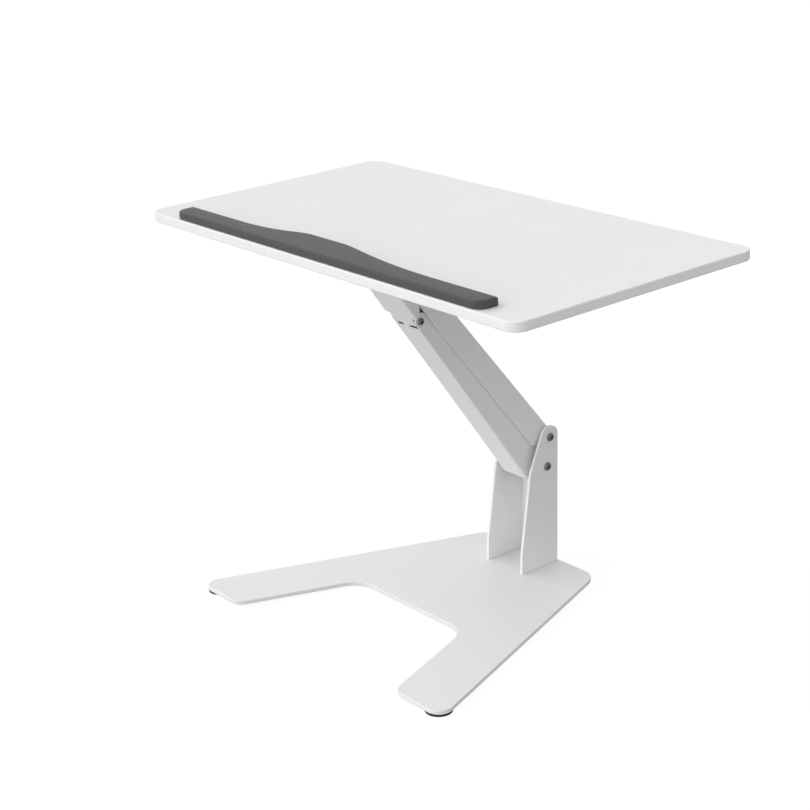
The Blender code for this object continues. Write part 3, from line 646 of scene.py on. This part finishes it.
def eye(node, spot, outer, hole, neck_from, neck_to):
    """A flat-sided eye across the spring's axis, with a round neck along it."""
    shape = placed(bore(outer, -EYE_HALF, EYE_HALF, 72), along_x(spot, 0))
    neck = placed(bore(5.5 * MM, neck_from, neck_to), ALONG_Y)
    shape = combine(shape, [neck], "UNION")
    shape = drilled(shape, [(spot, 0)], hole, -20 * MM, 20 * MM)
    piece(node, soften(shape, 0.5 * MM, 2), SPRING)


def web_point(up, depth=0.0):
    """A point in the head frame: up the bracket's web from the lower pin, depth behind its face."""
    return move(move((0, 0), up, WEB_ANGLE), WEB_FRONT - depth, WEB_ANGLE + math.pi / 2)


def head_bracket():
    """Folded channel whose web steps in to a tongue with two lugs; two tabs turn out at its top."""
    top = web_point(120 * MM)
    outline = [web_point(TAB_FROM), top, (RISE[0] + 9 * MM, top[1]), *arc(RISE, 13 * MM, 0, -75),
               (-7.3 * MM, 25 * MM), (-7.3 * MM, 12 * MM), web_point(TAB_FROM, 4 * MM)]
    inside = [web_point(-50 * MM, SHEET), web_point(160 * MM, SHEET), (90 * MM, 130 * MM),
              (90 * MM, -60 * MM)]
    body = channel(outline, inside, BRACKET_HALF, 0)
    board_to_head = HEAD.inverted() @ BOARD
    tab_top = -BOARD_THICK - MOUNT_THICK - 2 * GAP
    cuts, lugs, tabs, holes = [], [], [], []
    for sign in (1, -1):
        cuts.append(step(sign, TONGUE_HALF, WIDE_FROM, 40 * MM))
        cuts.append(step(sign, STOP_HALF, TONGUE_FROM, 8 * MM))
        lugs.append(bracket_lug(sign))
        low, high = sorted((sign * (BRACKET_HALF - 2 * MM), sign * 56 * MM))
        tab = box((low, 88 * MM, tab_top - SHEET), (high, 168 * MM, tab_top))
        tabs.append(placed(tab, board_to_head))
        for y in BOLT_ROWS:
            hole = bore(BOLT_HOLE, tab_top - 10 * MM, tab_top + 5 * MM)
            holes.append(placed(hole, board_to_head @ at((sign * BOLT_X, y, 0))))
    body = combine(body, cuts)
    body = combine(body, lugs + tabs, "UNION")
    trim = box((-90 * MM, -30 * MM, tab_top), (90 * MM, 260 * MM, 20 * MM))
    body = combine(body, [placed(trim, board_to_head), *holes])
    body = drilled(body, [(0, 0)], HEAD_PIN_RADIUS + PLAY)
    body = drilled(body, [RISE], PIN_RADIUS + PLAY)
    piece("head_bracket", soften(body, SHEET_EDGE, 2), HEAD)


def bracket_lug(sign):
    """A lug at one side of the tongue, round the lower head pin."""
    outline = [web_point(11 * MM, 2.2 * MM), *arc((0, 0), 8 * MM, 80, -88),
               web_point(-4.4 * MM, 2.9 * MM), web_point(-3.6 * MM, 2.2 * MM)]
    return prism(outline, *sorted((sign * (LUG_HALF - SHEET), sign * LUG_HALF)), "X")


def step(sign, inner, up_to, depth):
    """What is cut from the bracket outside x = inner and below a height on its web."""
    low, front = -20 * MM, -3 * MM
    outline = [web_point(low, front), web_point(up_to, front), web_point(up_to, depth),
               web_point(low, depth)]
    return prism(outline, *sorted((sign * inner, sign * (BRACKET_HALF + 2 * MM))), "X")


def head_pivots():
    """The lower bolt in the lower arm, and the upper one through bracket and upper arm."""
    face = LOWER_HALF + GAP
    pin = (HEAD_PIN.y, HEAD_PIN.z)
    button_bolt("head_lower_bolt", along_x(*pin, face), HEAD_PIN_RADIUS, 4.8 * MM, BOLT_TALL,
                2 * face + 2.8 * MM)
    nut("head_lower_nut", along_x(*pin, -face, -1), HEAD_PIN_RADIUS, 9.4 * MM, 2.4 * MM)
    inside = LUG_HALF - SHEET - GAP
    sleeve = ring(4.6 * MM, HEAD_PIN_RADIUS + PLAY, -inside, inside)
    piece("head_lower_sleeve", sleeve, along_x(*pin))
    face = BRACKET_HALF + GAP
    pin = (HEAD_PIN.y + RISE[0], HEAD_PIN.z + RISE[1])
    button_bolt("head_upper_bolt", along_x(*pin, face), PIN_RADIUS, BOLT_HEAD, BOLT_TALL,
                2 * face + BOLT_END)
    nut("head_upper_nut", along_x(*pin, -face, -1), PIN_RADIUS, NUT_ACROSS, NUT_TALL)
    for side, sign in SIDES:
        between(f"head_upper_washer_{side}", along_x(*pin), 8 * MM, PIN_RADIUS + PLAY, UPPER_HALF,
                BRACKET_HALF - SHEET, sign)


def mounting():
    """The plate under the board, the bolts that hold the bracket to it, and its wood screws."""
    top = -BOARD_THICK - GAP
    bottom = top - MOUNT_THICK
    half, front, back, corner = 125 * MM, 70 * MM, 240 * MM, 10 * MM
    outline = rounded([(-half, front, corner), (half, front, corner), (half, back, corner),
                       (-half, back, corner)])
    plate = soften(prism(outline, bottom, top), 0.5 * MM, 2)
    plate = drilled(plate, BRACKET_BOLTS, BOLT_HOLE, axis="Z")
    plate = drilled(plate, BOARD_SCREWS, 2.4 * MM, axis="Z")
    piece("mounting_plate", plate, BOARD)
    down = Matrix.Rotation(math.pi, 4, "X")
    for i, (x, y) in enumerate(BRACKET_BOLTS):
        place = BOARD @ at((x, y, bottom - 2 * GAP - SHEET)) @ down
        button_bolt(f"bracket_bolt_{i + 1}", place, 3 * MM, 5.5 * MM, 3 * MM, 5.3 * MM)
    for i, (x, y) in enumerate(BOARD_SCREWS):
        place = BOARD @ at((x, y, bottom - GAP)) @ down
        button_bolt(f"board_screw_{i + 1}", place, 2 * MM, 4.2 * MM, 2.2 * MM, 12.3 * MM)


def board():
    """A flat panel with rounded corners and edges, and blind holes for the fixings below."""
    half, corner = BOARD_WIDTH / 2, 19 * MM
    outline = rounded([(-half, 0, corner), (half, 0, corner), (half, BOARD_DEPTH, corner),
                       (-half, BOARD_DEPTH, corner)], 24)
    panel = soften(prism(outline, -BOARD_THICK, 0), BOARD_EDGE, 5)
    panel = drilled(panel, BOARD_SCREWS, 2.3 * MM, high=-3 * MM, axis="Z")
    panel = drilled(panel, BRACKET_BOLTS, 3.4 * MM, high=2 * MM - BOARD_THICK, axis="Z")
    piece("board", panel, BOARD)


def palm_rest():
    """A crowned foam strip: rolled edges, sides that swell a little, and a gently domed top."""
    back = bezier((-180 * MM, REST_BACK), (-105 * MM, REST_BACK + 1 * MM), (-92 * MM, REST_BULGE),
                  (-62 * MM, REST_BULGE), 32)
    back += [(x * MM, REST_BULGE) for x in range(-50, 0, 10)]
    back += bezier((0, REST_BULGE), (22 * MM, REST_BULGE), (85 * MM, REST_BACK),
                   (185 * MM, REST_BACK), 40)
    corners = [(-REST_HALF, REST_BACK, 3 * MM), *((x, y, 0) for x, y in back),
               (REST_HALF, REST_BACK, 3 * MM), (REST_HALF, REST_FRONT, 15 * MM),
               (-REST_HALF, REST_FRONT, 15 * MM)]
    outline = [Vector(p) for p in rounded(corners, 12)]
    side = [(0.9, 0.3), (0.35, 0.5), (0.08, 1.2), (0, 3.2), (0, 6.4), (0.1, 8.0), (0.45, 9.1),
            (1.0, 9.75), (1.7, 10.08), (2.6, 10.24)]      # inset and height, in millimetres
    bm = bmesh.new()
    loops = []
    for inset, height in side:
        points = inset_outline(outline, inset * MM)
        loops.append([bm.verts.new((p.x, p.y, height * MM)) for p in points])
    for low, high in zip(loops, loops[1:]):
        for k in range(len(low)):
            n = (k + 1) % len(low)
            bm.faces.new((low[k], low[n], high[n], high[k]))
    bm.faces.new(list(reversed(loops[0])))
    crown(bm, loops[-1], side[-1][1] * MM)
    pad = piece("palm_rest", bm, BOARD)


def inset_outline(outline, distance):
    """The closed outline moved inwards; it runs clockwise seen from above."""
    points = []
    for i, here in enumerate(outline):
        along = (outline[(i + 1) % len(outline)] - outline[i - 1]).normalized()
        points.append(here + Vector((along.y, -along.x)) * distance)
    return points


def crown(bm, rim, height):
    """Fill the pad's top inside its rim with a grid that rises towards the middle."""
    spacing, margin, dome, shoulder = 4 * MM, 1.6 * MM, 0.7 * MM, 7 * MM
    edge = [vert.co.to_2d() for vert in rim]
    low_y, high_y = min(p.y for p in edge), max(p.y for p in edge)
    grid = []
    for i in range(int(2 * REST_HALF / spacing) + 1):
        for j in range(int((high_y - low_y) / spacing) + 1):
            point = Vector((-REST_HALF + i * spacing, low_y + j * spacing))
            if inside(point, edge) and rim_distance(point, edge) > margin:
                grid.append(point)
    count = len(edge)
    sides = [(k, (k + 1) % count) for k in range(count)]
    points, _, faces, origins, *_ = delaunay_2d_cdt(edge + grid, sides, [], 1, 1e-7)
    verts = []
    for point, origin in zip(points, origins):
        if origin and origin[0] < count:
            verts.append(rim[origin[0]])
            continue
        rise = dome * (1 - math.exp(-rim_distance(point, edge) / shoulder))
        verts.append(bm.verts.new((point.x, point.y, height + rise)))
    for face in faces:
        bm.faces.new([verts[k] for k in face])


def rim_distance(point, edge):
    """How far a point is from the nearest side of a closed outline."""
    best = math.inf
    for k, a in enumerate(edge):
        span = edge[(k + 1) % len(edge)] - a
        t = min(1, max(0, (point - a).dot(span) / span.length_squared))
        best = min(best, (point - a - span * t).length)
    return best


def inside(point, edge):
    """Whether a line from the point crosses the closed outline an odd number of times."""
    odd = False
    for k, a in enumerate(edge):
        b = edge[(k + 1) % len(edge)]
        if (a.y > point.y) != (b.y > point.y):
            if point.x < a.x + (point.y - a.y) / (b.y - a.y) * (b.x - a.x):
                odd = not odd
    return odd


# ---------------------------------------------------------------- studio


def camera():
    data = bpy.data.cameras.new("camera")
    data.lens = 81.494
    data.sensor_width = 36
    data.clip_end = 30
    obj = bpy.data.objects.new("camera", data)
    bpy.context.collection.objects.link(obj)
    heading, down, roll = 0.878206, 0.347735, -0.027333
    turn = (Matrix.Rotation(heading, 4, "Z") @ Matrix.Rotation(math.pi / 2 - down, 4, "X")
            @ Matrix.Rotation(roll, 4, "Z"))
    obj.matrix_world = at((1.70191, -1.45501, 1.09404)) @ turn
    bpy.context.scene.camera = obj


def soft_sun(name, azimuth, elevation, angle, strength):
    """A broad distant softbox; azimuth 0 is in front and 90 to the left of the user."""
    data = bpy.data.lights.new(name, "SUN")
    data.angle = math.radians(angle)
    data.energy = strength * math.pi
    obj = bpy.data.objects.new(name, data)
    bpy.context.collection.objects.link(obj)
    turn, lift = math.radians(azimuth), math.radians(elevation)
    spot = Vector((-math.sin(turn) * math.cos(lift), -math.cos(turn) * math.cos(lift),
                   math.sin(lift)))
    obj.matrix_world = at(spot * 3) @ spot.to_track_quat("Z", "Y").to_matrix().to_4x4()


def seen_or_lighting(tree, seen, lighting):
    """A strength with one value as the camera sees it and another as it lights other surfaces."""
    path = tree.nodes.new("ShaderNodeLightPath")
    choose = tree.nodes.new("ShaderNodeMapRange")
    choose.inputs["To Min"].default_value = lighting
    choose.inputs["To Max"].default_value = seen
    tree.links.new(path.outputs["Is Camera Ray"], choose.inputs["Value"])
    return choose.outputs["Result"]


def floor():
    """A large plain floor lit from below, as a light table is, so that it stays an even white."""
    bm = bmesh.new()
    bmesh.ops.create_grid(bm, x_segments=8, y_segments=8, size=14)
    mesh = bpy.data.meshes.new("floor")
    bm.to_mesh(mesh)
    bm.free()
    obj = bpy.data.objects.new("floor", mesh)
    bpy.context.collection.objects.link(obj)
    shader = Shader("floor_white", Roughness=0.9, Specular_IOR_Level=0.0,
                    Emission_Color=(1, 1, 1, 1))
    shader.color(shader.noise(2), (0.138, 0.138, 0.138), (0.142, 0.142, 0.142))
    shader.link(seen_or_lighting(shader.tree, seen=0.90, lighting=0.27),
                shader.principled.inputs["Emission Strength"])
    mesh.materials.append(shader.material)


def room():
    """A white room: it shows as plain white, and its light is even and soft."""
    world = bpy.data.worlds.new("room")
    bpy.context.scene.world = world
    world.use_nodes = True
    background = world.node_tree.nodes["Background"]
    background.inputs["Color"].default_value = (1, 1, 1, 1)
    world.node_tree.links.new(seen_or_lighting(world.node_tree, seen=1.0, lighting=0.51),
                              background.inputs["Strength"])


def studio():
    floor()
    room()
    soft_sun("key", 50, 34, 70, 0.48)
    soft_sun("back", 140, 35, 60, 0.08)
    soft_sun("front", -2, 6, 20, 0.26)
    soft_sun("right", -60, 38, 50, 0.13)
    bpy.context.scene.view_settings.view_transform = "Standard"


base_plate()
column()
feet()
column_pivots()
lower_link()
upper_link()
gas_spring()
head_bracket()
head_pivots()
mounting()
board()
palm_rest()
camera()
studio()
